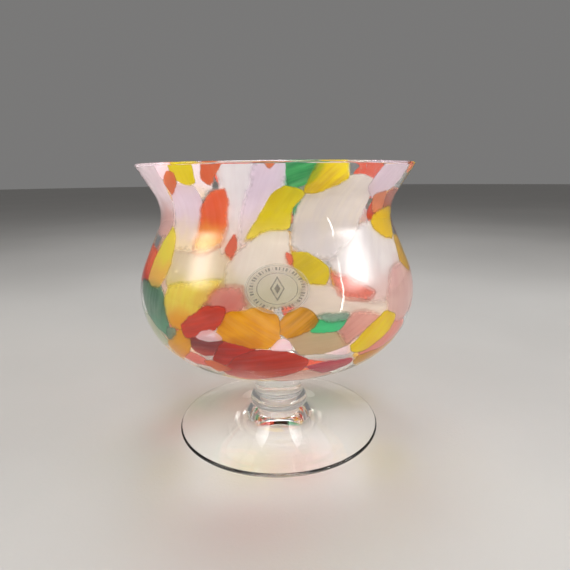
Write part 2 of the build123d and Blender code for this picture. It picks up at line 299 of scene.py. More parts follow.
# ---- Clear glass ----
GLASS_IOR, LAMP_TINT = 1.5, 0.93
FINE_SCALE, FINE_DEPTH = 5, 0.06  # the fine ripples next to the wide ones
SEED_SCALE, SEED_DEPTH = 900.0, 0.00004  # tiny seeds of air under the surface
HAZE_SCALE = 60.0
POLISH = (0.004, 0.022)  # the least and the most roughness of fire-polished glass


def clear_glass(name, tint, ripple_scale, ripple_depth, stretch=(1, 1, 1), frost=None):
    """Fire-polished clear glass with the faint ripples of hand work, or ground glass, its frost the
    most roughness."""
    n = Nodes(name)
    place = n.add("ShaderNodeTexCoord").outputs["Object"]
    stretched = n.add("ShaderNodeMapping", {"Vector": place, "Scale": stretch}).outputs[0]
    wide = n.noise(stretched, ripple_scale, detail=1.5, rough=0.4)
    fine = n.noise(stretched, ripple_scale * FINE_SCALE, detail=2.0)
    seeds = n.noise(place, SEED_SCALE, detail=0.0)
    normal = n.bump(wide, ripple_depth)
    normal = n.bump(fine, ripple_depth * FINE_DEPTH, under=normal)
    normal = n.bump(n.ramp(seeds, 0.82, 0.9), SEED_DEPTH, under=normal)
    glass = n.add("ShaderNodeBsdfPrincipled", {"Base Color": tint, "Normal": normal})
    glass.inputs["Transmission Weight"].default_value = 1.0
    glass.inputs["IOR"].default_value = GLASS_IOR
    haze = n.noise(place, HAZE_SCALE, detail=4.0)
    if frost is None:
        n.put(glass.inputs["Roughness"], n.ramp(haze, 0.45, 0.8, *POLISH))
    else:
        n.put(glass.inputs["Roughness"], n.ramp(haze, 0.3, 0.7, frost * 0.7, frost))
    return n.finish(n.lamps_through(glass.outputs[0], (LAMP_TINT,) * 3 + (1,)))


def fused_joint():
    """Where two gathers are melted together there is no surface, so nothing shows."""
    n = Nodes("fused_joint")
    return n.finish(n.add("ShaderNodeBsdfTransparent", {"Color": (1, 1, 1, 1)}).outputs[0])


# Each glass: its tint, then the scale per metre and the depth in metres of its ripples.
bowl_glass = clear_glass("clear_bowl_glass", (0.985, 0.99, 0.985, 1), 26.0, 0.00022)
stem_glass = clear_glass("clear_stem_glass", (0.975, 0.985, 0.98, 1), 60.0, 0.00018, (1, 1, 0.5))
foot_glass = clear_glass("clear_foot_glass", (0.98, 0.988, 0.985, 1), 30.0, 0.00018)
ground_glass = clear_glass("ground_pontil_glass", (0.95, 0.96, 0.96, 1), 300.0, 0.0001, frost=0.5)
joint = fused_joint()

RIM_OUTER_ROUND, RIM_INNER_ROUND, RIM_STEPS = 0.6, 1.1, 8
RIM_GUIDE = 10  # the rim's corners point towards the wall this far down
STEP = 1.6  # spacing of the rings down the wall
OUTSIDE_START, SEAM_START, INSIDE_START = 2.4, 3.0, 4.0  # the rings' topmost, below the rounded rim
BOWL_SIDES, STEM_SIDES, FOOT_SIDES = 192, 128, 256


def rim_corner(depth):
    """Where the wall at a depth would meet the plane of the rim."""
    radius, height, tilt = wall_station(0)
    lift = depth * sin(FLARE)
    return (radius - depth * cos(FLARE) - lift * tan(FLARE), HEIGHT)


def wall_rings(depth, start, end):
    """Radius and height of rings of the wall at a depth, from one distance down to another."""
    count = max(int(abs(end - start) / STEP), 2)
    return [in_wall(start + (end - start) * i / count, depth) for i in range(count + 1)]


joint_down = WALL_RUN - BASE_CURVE * atan2(STEM_JOINT, sqrt(BASE_CURVE**2 - STEM_JOINT**2))
outer_corner, seam_corner, inner_corner = rim_corner(0), rim_corner(JOINT_DEPTH), rim_corner(WALL)
outside_guide, inside_guide = in_wall(RIM_GUIDE, 0), in_wall(RIM_GUIDE, WALL)
outer_arc = rounded(outer_corner, outside_guide, inner_corner, RIM_OUTER_ROUND, RIM_STEPS)
inner_arc = rounded(inner_corner, outer_corner, inside_guide, RIM_INNER_ROUND, RIM_STEPS)

outside = [(r, z, 1) for r, z in wall_rings(0, WALL_RUN, joint_down)[:-1]]
outside += [(r, z, 0) for r, z in wall_rings(0, joint_down, OUTSIDE_START)]
outside += [(r, z, 0) for r, z in outer_arc]
seam_down = [(r, z, 1) for r, z in wall_rings(JOINT_DEPTH, SEAM_START, WALL_RUN)]
casing_profile = outside + [(*seam_corner, 1)] + seam_down
gather_profile = [(r, z, 1) for r, z in wall_rings(JOINT_DEPTH, WALL_RUN, SEAM_START)]
gather_profile += [(*seam_corner, 0)]
gather_profile += [(r, z, 0) for r, z in inner_arc]
gather_profile += [(r, z, 0) for r, z in wall_rings(WALL, INSIDE_START, WALL_RUN)]

CASING_BREATH, GATHER_BREATH = 0.16, 0.12  # how far hand work moves each piece's surface, mm


def clear_piece(name, profile, around, breath, materials, node):
    """A piece of clear glass turned from its profile, in place of a CAD node."""
    new_piece(name, turned(name, profile, around, breath), materials, [node])


bowl_glasses = [bowl_glass, joint]
clear_piece("clear_outer_casing", casing_profile, BOWL_SIDES, CASING_BREATH, bowl_glasses, "outer_casing")
clear_piece("clear_inner_gather", gather_profile, BOWL_SIDES, GATHER_BREATH, bowl_glasses, "inner_gather")

# ---- Stem, collar and foot ----
WAIST_RADIUS, WAIST_HEIGHT, STEM_FOOT_RADIUS = 14.2, 21.6, 14.4
# Ways in which the stem's side leaves the bowl, comes to its waist, leaves it and meets the collar.
STEM_LEAVES, WAIST_IN, WAIST_OUT, STEM_MEETS = (-9, -11), (0.3, -11), (0.1, -2), (0.5, -1.6)
COLLAR_TOP_RADIUS, COLLAR_BOTTOM_RADIUS, COLLAR_WIDEST = 14.6, 16.2, 15.2
COLLAR_SLACK = 0.05  # the collar's middle point lies this far inside its full radius
STEM_BREATH, COLLAR_BREATH, FOOT_BREATH = 0.2, 0.15, 0.1


def hermite(start, start_way, end, end_way, steps):
    """Points of a smooth curve between two points with a direction at each end."""
    points = []
    for step in range(steps + 1):
        t = step / steps
        a, b = 2 * t**3 - 3 * t**2 + 1, t**3 - 2 * t**2 + t
        c, d = -2 * t**3 + 3 * t**2, t**3 - t**2
        points.append(
            tuple(a * start[i] + b * start_way[i] + c * end[i] + d * end_way[i] for i in (0, 1))
        )
    return points


def arc_through(start, middle, end, steps):
    """Points of the arc from one point to another through a third."""
    a, b, c = Vector(start), Vector(middle), Vector(end)
    chord, other = b - a, c - a
    cross = 2 * (chord.x * other.y - chord.y * other.x)
    across = other.y * chord.length_squared - chord.y * other.length_squared
    up = chord.x * other.length_squared - other.x * chord.length_squared
    centre = a + Vector((across / cross, up / cross))
    radius = (a - centre).length
    first, last = atan2(a.y - centre.y, a.x - centre.x), atan2(c.y - centre.y, c.x - centre.x)
    turn = (last - first + pi) % (2 * pi) - pi
    angles = [first + turn * step / steps for step in range(steps + 1)]
    return [(centre.x + radius * cos(t), centre.y + radius * sin(t)) for t in angles]


stem_profile = [(r, z, 1) for r, z in wall_rings(0, WALL_RUN, joint_down)[:-1]]
waist, stem_end = (WAIST_RADIUS, WAIST_HEIGHT), (STEM_FOOT_RADIUS, COLLAR_TOP)
stem_side = hermite(in_wall(joint_down, 0), STEM_LEAVES, waist, WAIST_IN, 22)
stem_side += hermite(waist, WAIST_OUT, stem_end, STEM_MEETS, 5)[1:]
stem_profile += [(r, z, 0) for r, z in stem_side[:-1]]
stem_profile += [(STEM_FOOT_RADIUS, COLLAR_TOP, 1), (0, COLLAR_TOP, 1)]

collar_side = arc_through(
    (COLLAR_TOP_RADIUS, COLLAR_TOP),
    (COLLAR_RADIUS - COLLAR_SLACK, COLLAR_WIDEST),
    (COLLAR_BOTTOM_RADIUS, COLLAR_BOTTOM),
    18,
)
collar_profile = [(0, COLLAR_TOP, 1), (STEM_FOOT_RADIUS, COLLAR_TOP, 0)]
collar_profile += [(r, z, 0) for r, z in collar_side[:-1]]
collar_profile += [(COLLAR_BOTTOM_RADIUS, COLLAR_BOTTOM, 1), (0, COLLAR_BOTTOM, 1)]

FOOT_MIDDLE = (34.0, 5.2)  # a point of the foot's top, half way out
FOOT_EDGE, EDGE_INSET = 2.4, 1.3  # where the top ends: its height, and how far in from the edge
EDGE_ROUND, EDGE_MIDDLE, EDGE_TURN, EDGE_STEPS = 1.15, 1.25, 80, 14
REST_OUTER, REST_INNER, REST_EASE = 58.2, 50.0, 2  # the ring that the bowl rests on
FOOT_HOLLOW, PONTIL = 3.2, 11.0  # height of the hollow, radius of the ground pontil mark
HOLLOW_LEAVES, HOLLOW_MEETS = (-12, 1.0), (-12, 0.6)
foot_start, foot_end = (COLLAR_BOTTOM_RADIUS, COLLAR_BOTTOM), (FOOT_RADIUS - EDGE_INSET, FOOT_EDGE)
foot_top = arc_through(foot_start, FOOT_MIDDLE, foot_end, 40)
edge_points = []
for step in range(1, EDGE_STEPS):
    angle = radians(EDGE_TURN - 2 * EDGE_TURN * step / EDGE_STEPS)
    edge_points.append(on_arc((FOOT_RADIUS - EDGE_ROUND, EDGE_MIDDLE), EDGE_ROUND, angle))
foot_under = [(REST_OUTER, 0.0), (REST_OUTER - REST_EASE, 0.0)]
foot_under += [(REST_INNER + REST_EASE, 0.0), (REST_INNER, 0.02)]
hollow_start, hollow_end = (REST_INNER - 1, 0.08), (PONTIL + 1, FOOT_HOLLOW)
foot_under += hermite(hollow_start, HOLLOW_LEAVES, hollow_end, HOLLOW_MEETS, 16)
foot_profile = [(0, COLLAR_BOTTOM, 1)] + [(r, z, 0) for r, z in foot_top + edge_points + foot_under]
foot_profile += [(PONTIL, FOOT_HOLLOW, 2), (0, FOOT_HOLLOW, 2)]

stem_glasses, foot_glasses = [stem_glass, joint], [foot_glass, joint, ground_glass]
clear_piece("clear_stem", stem_profile, STEM_SIDES, STEM_BREATH, stem_glasses, "stem")
clear_piece("clear_collar", collar_profile, STEM_SIDES, COLLAR_BREATH, stem_glasses, "stem_collar")
clear_piece("clear_foot", foot_profile, FOOT_SIDES, FOOT_BREATH, foot_glasses, "foot")

# ---- The coloured chips ----
# Each row: two colours that streak together, a third that the chip turns to at its foot or None, the
# streaks' lean from the girth in degrees, how strong they are, how soft the top and foot edges are and
# how far the chip has spread past its cut outlines, the last three in mm. Then those outlines, as in
# the frame: degrees round from the front and mm down the wall, by turns. Topmost chips come first.
Look = namedtuple("Look", "one two foot_colour lean streak soft_top soft_foot spread")
CHIPS = {
    "red_chip_left_belly": ("E65C42", "B84A3A", None, 20, 0.7, 1.4, 1.4, 1.5,
        [-31, 73, -24, 67, -18, 67, -19, 73, -28, 80, -34, 83, -35, 78]),
    "amber_chip_front": ("D89C00", "F4CC28", None, -32, 1.0, 1.2, 1.4, 1.6,
        [-12, 68, -5, 67, 0, 70, 0, 80, -4, 85, -13, 83, -20, 80, -19, 71]),
    "amber_chip_front_right": ("E6B21C", "9C6C10", None, 38, 1.0, 0.9, 1.6, 1.3,
        [2, 70, 5, 67, 9, 67, 13, 72, 10, 76, 3, 79, 0, 75]),
    "red_chip_front_base": ("D6492E", "B83E30", None, 12, 0.8, 1.2, 1.6, 1.5,
        [-20, 98, -9, 87, 2, 87, 10, 93, 9, 100, -2, 107, -16, 113, -23, 107]),
    "red_chip_left_base": ("DC4636", "AE3C30", None, 5, 0.8, 1.2, 1.8, 1.2,
        [-18, 82, -9, 79, -5, 80, -9, 87, -21, 98, -25, 95]),
    "lemon_chip_left_rim": ("E8DC00", "D8C800", None, 90, 0.5, 0.6, 1.6, 0.8,
        [-37, 1, -29, 1, -30, 10, -33, 12, -40, 9]),
    "lemon_chip_right_rim": ("ECDE0C", "D0B00C", None, 50, 0.9, 2.4, 1.2, 1.6,
        [16, 2, 20, 1, 26, 9, 18, 14, 11, 15, 12, 9]),
    "lemon_chip_front_neck": ("E2D600", "CCBE04", "E0D25C", 60, 0.6, 0.9, 2.0, 0.9,
        [3, 12, 11, 16, 6, 23, 5, 31, -4, 32, -12, 36, -9, 30]),
    "lemon_chip_right_base": ("E0D600", "D8B600", None, 45, 0.6, 1.2, 1.2, 1.4,
        [41, 74, 48, 78, 46, 84, 36, 92, 30, 92, 27, 87]),
    "lemon_chip_right_neck": ("DCC41C", "D4B82C", None, 90, 0.5, 2.4, 1.6, 1.5,
        [52, 26, 72, 26, 68, 36, 60, 40, 51, 37, 46, 31]),
    "lemon_chip_left_shoulder": ("E4DE58", "E8D868", "E8C470", 75, 0.5, 1.6, 2.4, 1.6,
        [-52, 33, -49, 36, -46, 50, -49, 62, -59, 61, -60, 50]),
    "olive_chip_front": ("DCCA34", "C4B034", None, 30, 0.5, 0.9, 1.4, 1.2,
        [6, 42, 12, 43, 19, 50, 17, 56, 11, 55, 7, 50]),
    "olive_chip_left_belly": ("ECE67A", "E4CA60", "E6B43C", 80, 0.6, 4.0, 2.4, 2.4,
        [-42, 61, -33, 58, -22, 56, -25, 63, -33, 78, -40, 79, -44, 68]),
    "amber_chip_left_base": ("ECC408", "D8A800", None, 30, 0.5, 1.4, 1.2, 1.4,
        [-43, 86, -36, 80, -33, 84, -36, 93, -47, 102, -49, 94]),
    "amber_chip_right_base": ("CCA808", "D09410", None, 20, 0.5, 1.2, 1.2, 1.4,
        [64, 93, 50, 100, 35, 105, 33, 97, 46, 97]),
    "amber_chip_right_shoulder": ("CEB040", "C09A34", None, 90, 0.5, 1.8, 1.8, 1.4,
        [66, 40, 80, 44, 80, 56, 68, 60, 61, 52]),
    "emerald_chip_front_rim": ("5CC880", "208054", None, 20, 1.0, 0.8, 1.8, 1.0,
        [4, 1, 17, 1, 14, 7, 9, 13, 4, 12]),
    "emerald_chip_front_belly": ("58D89C", "40BE80", None, 0, 0.5, 0.7, 1.0, 1.0,
        [11, 77, 13, 72, 23, 74, 20, 78]),
    "teal_chip_left_belly": ("82AA94", "487C68", "78B89C", 80, 0.9, 3.0, 2.4, 2.2,
        [-66, 64, -48, 62, -44, 70, -44, 86, -58, 78]),
    "orange_chip_left_rim": ("E08C5C", "DC7448", None, 80, 0.5, 0.8, 1.8, 1.0,
        [-21, 1, -14, 1, -21, 6, -24, 12, -27, 9]),
    # The orange chip's pale yellow foot is partly its own turn to yellow and partly painted highlight,
    # the warm glare of the left window.
    "orange_chip_left_neck": ("E88450", "DE7240", "F4D66C", 88, 0.6, 1.6, 7.0, 2.0,
        [-25, 17, -20, 15, -21, 24, -23, 38, -30, 43, -34, 42, -32, 24]),
    "orange_chip_right_neck": ("D08C60", "C47850", None, 90, 0.5, 1.8, 2.0, 1.6,
        [45, 18, 54, 17, 56, 24, 50, 27, 46, 24]),
    "red_chip_right_neck": ("B86E54", "A45E4C", None, 90, 0.5, 1.8, 1.8, 1.8,
        [56, 17, 76, 18, 76, 25, 57, 24]),
    "red_chip_right_belly": ("DC7C68", "DE9484", None, -25, 0.8, 4.5, 4.0, 2.2,
        [20, 53, 28, 57, 35, 63, 33, 65, 22, 61]),
    "rose_chip_front_left": ("D88A80", "DCA89A", None, 60, 0.7, 5.0, 3.0, 3.0,
        [-28, 64, -21, 59, -13, 58, -11, 64, -17, 70, -22, 66]),
    "maroon_chip_left_base": ("B4504C", "84343A", "D07068", 8, 1.0, 1.2, 2.4, 1.6,
        [-33, 84, -19, 82, -20, 88, -26, 92, -32, 91]),
    "crimson_chip_front_base": ("B03450", "D06478", None, 5, 1.0, 2.0, 1.6, 1.2,
        [11, 98, 20, 96, 30, 97, 31, 101, 20, 107]),
    "pink_chip_front_right": ("DCAEA2", "CC9488", None, 30, 0.7, 3.6, 3.0, 3.0,
        [22, 77, 25, 73, 31, 72, 37, 76, 29, 81, 25, 84]),
    "pink_chip_right_belly": ("D8BEB6", "C8A4A2", None, 80, 0.7, 3.6, 3.0, 4.2,
        [50, 58, 57, 56, 72, 63, 66, 74, 57, 80, 46, 76, 45, 67]),
    "pink_chip_right_base": ("E0A092", "D28E82", None, 50, 0.6, 1.4, 1.6, 1.6,
        [50, 81, 56, 82, 61, 88, 50, 95, 37, 97, 33, 94, 44, 87]),
    "pink_chip_left_base": ("ECA49A", "DC8A84", None, 10, 0.6, 1.8, 1.6, 1.6,
        [-36, 93, -30, 95, -28, 100, -37, 102, -42, 98]),
    "lilac_chip_left_flare": ("E8DEE0", "D4C6CC", "D8B8B4", 90, 0.6, 0.9, 4.0, 1.2,
        [-84, 1, -48, 1, -50, 18, -55, 38, -72, 38, -86, 20]),
    "lilac_chip_left_neck": ("E8DEE6", "DED0D6", "F2E8CE", 90, 0.5, 0.9, 6.0, 2.0,
        [-44, 13, -33, 13, -33, 28, -35, 42, -49, 42, -49, 24]),
    "lilac_chip_front_rim": ("EAE0E8", "DCD0DA", "E2D6D0", 70, 0.7, 3.2, 4.0, 3.4,
        [-6, 4, 4, 3, 0, 15, -6, 27, -13, 36, -13, 26, -7, 12]),
    "lilac_chip_right_rim": ("DACED4", "CCBCC4", None, 60, 0.6, 1.4, 1.8, 1.6,
        [46, 1, 57, 1, 60, 9, 54, 15, 44, 19, 38, 13]),
    "white_chip_front_rim": ("EEECEC", "E0D8DA", "E8DED8", 80, 0.7, 2.0, 3.0, 2.2,
        [-16, 1, -6, 1, -6, 14, -13, 28, -21, 41, -24, 32, -20, 14]),
    "white_chip_front": ("E8E2DA", "DCD2CA", "D6D0B8", 75, 0.7, 2.2, 4.0, 2.4,
        [-10, 38, -5, 33, 3, 33, 4, 46, 8, 54, 6, 63, -10, 66, -17, 58, -18, 49]),
    "white_chip_right_neck": ("DCD4CA", "CEC6C6", "D8D2D2", 65, 0.7, 1.2, 6.0, 1.6,
        [15, 12, 32, 8, 40, 13, 41, 20, 35, 34, 27, 41, 18, 47, 6, 40, 7, 28]),
    "white_chip_right_shoulder": ("E2DEDC", "D0CACC", "DCC8C4", 60, 0.7, 4.5, 4.5, 7.0,
        [29, 40, 44, 36, 60, 43, 54, 54, 44, 63, 36, 62, 28, 55, 24, 47]),
    "white_chip_right_belly": ("E4DACE", "D8CCC4", None, 5, 0.6, 4.0, 2.6, 5.0,
        [12, 58, 22, 62, 36, 66, 44, 69, 40, 74, 28, 72, 11, 68, 8, 64]),
    # The white chip on the left belly is partly its own cream and partly painted highlight. Its warm
    # tone, yellower at the foot, stands for the warm glare of the left window.
    "white_chip_left_belly": ("E8DEC8", "DCD0BC", "E0D698", 80, 0.7, 3.6, 4.0, 6.0,
        [-47, 43, -33, 44, -22, 42, -19, 52, -23, 58, -40, 60]),
    "white_chip_left_base": ("D8D6C4", "B0C4B0", None, 70, 0.8, 2.4, 1.6, 2.0,
        [-64, 80, -54, 80, -48, 91, -56, 95, -68, 90]),
    "white_chip_front_base": ("D4C2A2", "C4AE8C", None, 5, 0.5, 1.2, 1.2, 1.2,
        [4, 80, 6, 77, 20, 79, 26, 85, 22, 88, 8, 89]),
    "white_chip_bottom": ("D8BAAC", "CCA898", None, 5, 0.5, 1.6, 1.6, 1.6,
        [-6, 111, 2, 105, 12, 102, 24, 110, 10, 116]),
    "small_orange_chips": ("DC945C", "DC8058", None, 60, 0.5, 1.0, 1.6, 0.8,
        [-42, 5, -38, 6, -41, 12, -47, 17, -48, 11],
        [-5, 1, 3, 1, -2, 4],
        [60, 1, 72, 1, 66, 7],
        [-30, 97, -25, 95, -19, 101, -27, 106]),
    "small_red_chips": ("E08468", "D06C50", None, 80, 0.5, 1.2, 2.2, 0.4,
        [-17, 33, -15, 40, -17, 46, -21, 41],
        [3, 41, 6, 42, 6, 49, 4, 47]),
    "small_white_chips": ("F4F0F0", "F2D2E0", None, 10, 0.6, 0.8, 0.8, 0.4,
        [-47, 1, -38, 1, -41, 7, -48, 9],
        [0, 80, 3, 80, 5, 86, -3, 86],
        [-31, 83, -23, 76, -18, 82]),
    "small_teal_chips": ("A4B4A4", "84A494", None, 10, 0.6, 3.0, 1.4, 0.4,
        [12, 69, 25, 70, 24, 74, 13, 72],
        [-44, 80, -38, 79, -39, 84, -47, 89]),
    "white_chips_round_back": ("ECE6E0", "D8C0D0", "E4D4C4", 85, 0.6, 2.0, 4.0, 3.6),
    "yellow_chips_round_back": ("EADC08", "D89C08", None, 70, 0.8, 1.2, 2.2, 3.2,
        [-64, 99, -50, 104, -56, 114, -70, 110]),
    "red_chips_round_back": ("EA7A3C", "CC3C34", "D05048", 70, 0.8, 1.2, 3.0, 3.2,
        [-78, 48, -61, 49, -60, 61, -74, 62],
        [73, 62, 92, 58, 90, 80, 68, 80]),
    "green_chips_round_back": ("4CC088", "3C7868", None, 70, 0.9, 1.4, 2.6, 3.2,
        [-92, 84, -74, 82, -72, 96, -88, 98]),
}
looks = {name: Look(*row[: len(Look._fields)]) for name, row in CHIPS.items()}
outlines_of = {
    name: [list(zip(flat[::2], flat[1::2])) for flat in row[len(Look._fields) :]]
    for name, row in CHIPS.items()
}

# Rows of shards round the back: mm down, first and last azimuth, count, half width and half height.
BACK_COLOURS = ["white", "yellow", "red", "white", "green", "red", "white", "yellow"]
BACK_ROWS = [
    (12, 92, 262, 7, 15.0, 10.0),
    (35, 100, 268, 7, 14.0, 12.0),
    (60, 96, 266, 7, 17.0, 12.0),
    (86, 104, 250, 6, 18.0, 12.0),
    (111, 62, 298, 8, 14.5, 11.0),
    (137, 20, 340, 6, 14.0, 12.0),
]
SHARD_CORNERS = [25, 100, 160, 215, 305]  # directions of a shard's corners, degrees
SHARD_UNEVEN, SHARD_TWIST = 0.16, 14  # how much a corner's reach and direction vary
ROW_SHIFT = 9  # starts each row at another colour


def back_shard(azimuth, down, half_width, half_height, turn):
    """An uneven five-cornered shard, its corners in degrees round and mm down."""
    girth = radians(1) * wall_station(down)[0]
    corners = []
    for direction in SHARD_CORNERS:
        reach = 1 + SHARD_UNEVEN * sin(radians(3 * direction + 130 * turn))
        angle = radians(direction + SHARD_TWIST * sin(2.4 * turn))
        across, up = reach * half_width * cos(angle), reach * half_height * sin(angle)
        corners.append((azimuth + across / girth, down - up))
    return corners


laid = 0
for down, first, last, count, half_width, half_height in BACK_ROWS:
    for place in range(count):
        azimuth = first + (last - first) * place / (count - 1)
        colour = BACK_COLOURS[(laid + down // ROW_SHIFT) % len(BACK_COLOURS)]
        shard = back_shard(azimuth, down, half_width, half_height, laid)
        outlines_of[f"{colour}_chips_round_back"].append(shard)
        laid += 1

CHIP_OUTSIDE = 0.04  # how deep under the casing the topmost chip's outer face lies
CHIP_THICK, CHIP_ROUND = 0.3, 2.0  # how thick a chip gets, and how far in from its edge
CORNER_MELT, SIDE_SWELL = 2.2, 0.03  # how far corners melt back, mm, and how much sides belly out
MOST_MELT, CORNER_STEPS = 0.42, 6  # the most of a side that a corner takes, and its steps
SHARPEST = 0.45  # keeps a sharp corner from shooting out as a chip spreads
SWAY, SWAY_SCALE, NOTCH, NOTCH_SCALE = 0.8, 0.16, 0.22, 0.55  # how an outline wanders: mm, per mm
RIM_ROUND = 0.8  # height left clear for the rounded rim above the chips
RIM_NEAR, RIM_REACH = 3, 6.0  # a corner cut this near the rim moves this far up, past the rim
GRAIN = 1.15  # spacing of a chip's points, mm
EDGE_GRAIN, ROW_GRAIN, EDGE_CLEAR = 0.8, 0.87, 0.55  # shares of it: on edges, row to row, off edges
LAYER_GAP = 0.011  # each chip's outer face lies this much deeper than that of the one before
JOINT_CLEAR = 0.02  # left between a chip and the inner gather
LAYER_SEED, CHIP_SEED = 5.1, 2.3
FADE_MARGIN = 0.3  # the fading slot reaches this far past the fade itself


def spread_corners(corners, spread):
    """A chip's corners moved out so that its sides lie a distance outside the cut outline."""
    moved = []
    for i, here in enumerate(corners):
        one = (here - corners[i - 1]).normalized()
        two = (corners[(i + 1) % len(corners)] - here).normalized()
        out = Vector((one.y + two.y, -one.x - two.x)).normalized()
        moved.append(here + out * spread / max(out.dot(Vector((one.y, -one.x))), SHARPEST))
    return moved


def melted_outline(corners, seed, spread):
    """A chip's outline with its corners melted round and spread out, evenly spaced points in mm."""
    count = len(corners)
    points = spread_corners(corners, spread)
    path = []
    for i in range(count):
        before, here, after = points[i - 1], points[i], points[(i + 1) % count]
        back, on = before - here, after - here
        cut_back = min(MOST_MELT, CORNER_MELT / max(back.length, 0.1))
        cut_on = min(MOST_MELT, CORNER_MELT / max(on.length, 0.1))
        start, end = here + back * cut_back, here + on * cut_on
        for step in range(CORNER_STEPS + 1):
            t = step / CORNER_STEPS
            path.append(start * (1 - t) ** 2 + here * (2 * t * (1 - t)) + end * t**2)
        leave = here + on * (1 - cut_on)
        side = Vector((on.y, -on.x)).normalized() * on.length * SIDE_SWELL
        for step in range(1, CORNER_STEPS):
            t = step / CORNER_STEPS
            path.append(end.lerp(leave, t) + side * (4 * t * (1 - t)))
    lengths = [0.0]
    for i in range(len(path)):
        lengths.append(lengths[-1] + (path[(i + 1) % len(path)] - path[i]).length)
    wanted = max(int(lengths[-1] / (GRAIN * EDGE_GRAIN)), 12)
    outline, i = [], 0
    for step in range(wanted):
        at = lengths[-1] * step / wanted
        while lengths[i + 1] < at:
            i += 1
        share = (at - lengths[i]) / max(lengths[i + 1] - lengths[i], 1e-9)
        outline.append(path[i].lerp(path[(i + 1) % len(path)], share))
    out = []
    for i, point in enumerate(outline):
        side = outline[(i + 1) % wanted] - outline[i - 1]
        normal = Vector((side.y, -side.x)).normalized()
        sway = noise.noise(Vector((point.x * SWAY_SCALE, point.y * SWAY_SCALE, seed * 3.7)))
        notch = noise.noise(Vector((point.x * NOTCH_SCALE, point.y * NOTCH_SCALE, seed * 1.9)))
        out.append(point + normal * (SWAY * sway + NOTCH * notch))
    return out


def signed_area(points):
    """The area inside a closed outline, negative where it runs clockwise."""
    return sum(a.x * b.y - b.x * a.y for a, b in zip(points, points[1:] + points[:1])) / 2


def edge_distance(point, outline):
    """How far a point inside an outline is from its edge."""
    best = 1e9
    for i in range(len(outline)):
        a, b = outline[i - 1], outline[i]
        side = b - a
        t = min(max((point - a).dot(side) / max(side.length_squared, 1e-9), 0.0), 1.0)
        best = min(best, (point - a - side * t).length)
    return best


def inside(point, outline):
    """Whether a point is inside a closed outline."""
    within = False
    for i in range(len(outline)):
        a, b = outline[i - 1], outline[i]
        if (a.y > point.y) != (b.y > point.y):
            if point.x < (b.x - a.x) * (point.y - a.y) / (b.y - a.y) + a.x:
                within = not within
    return within


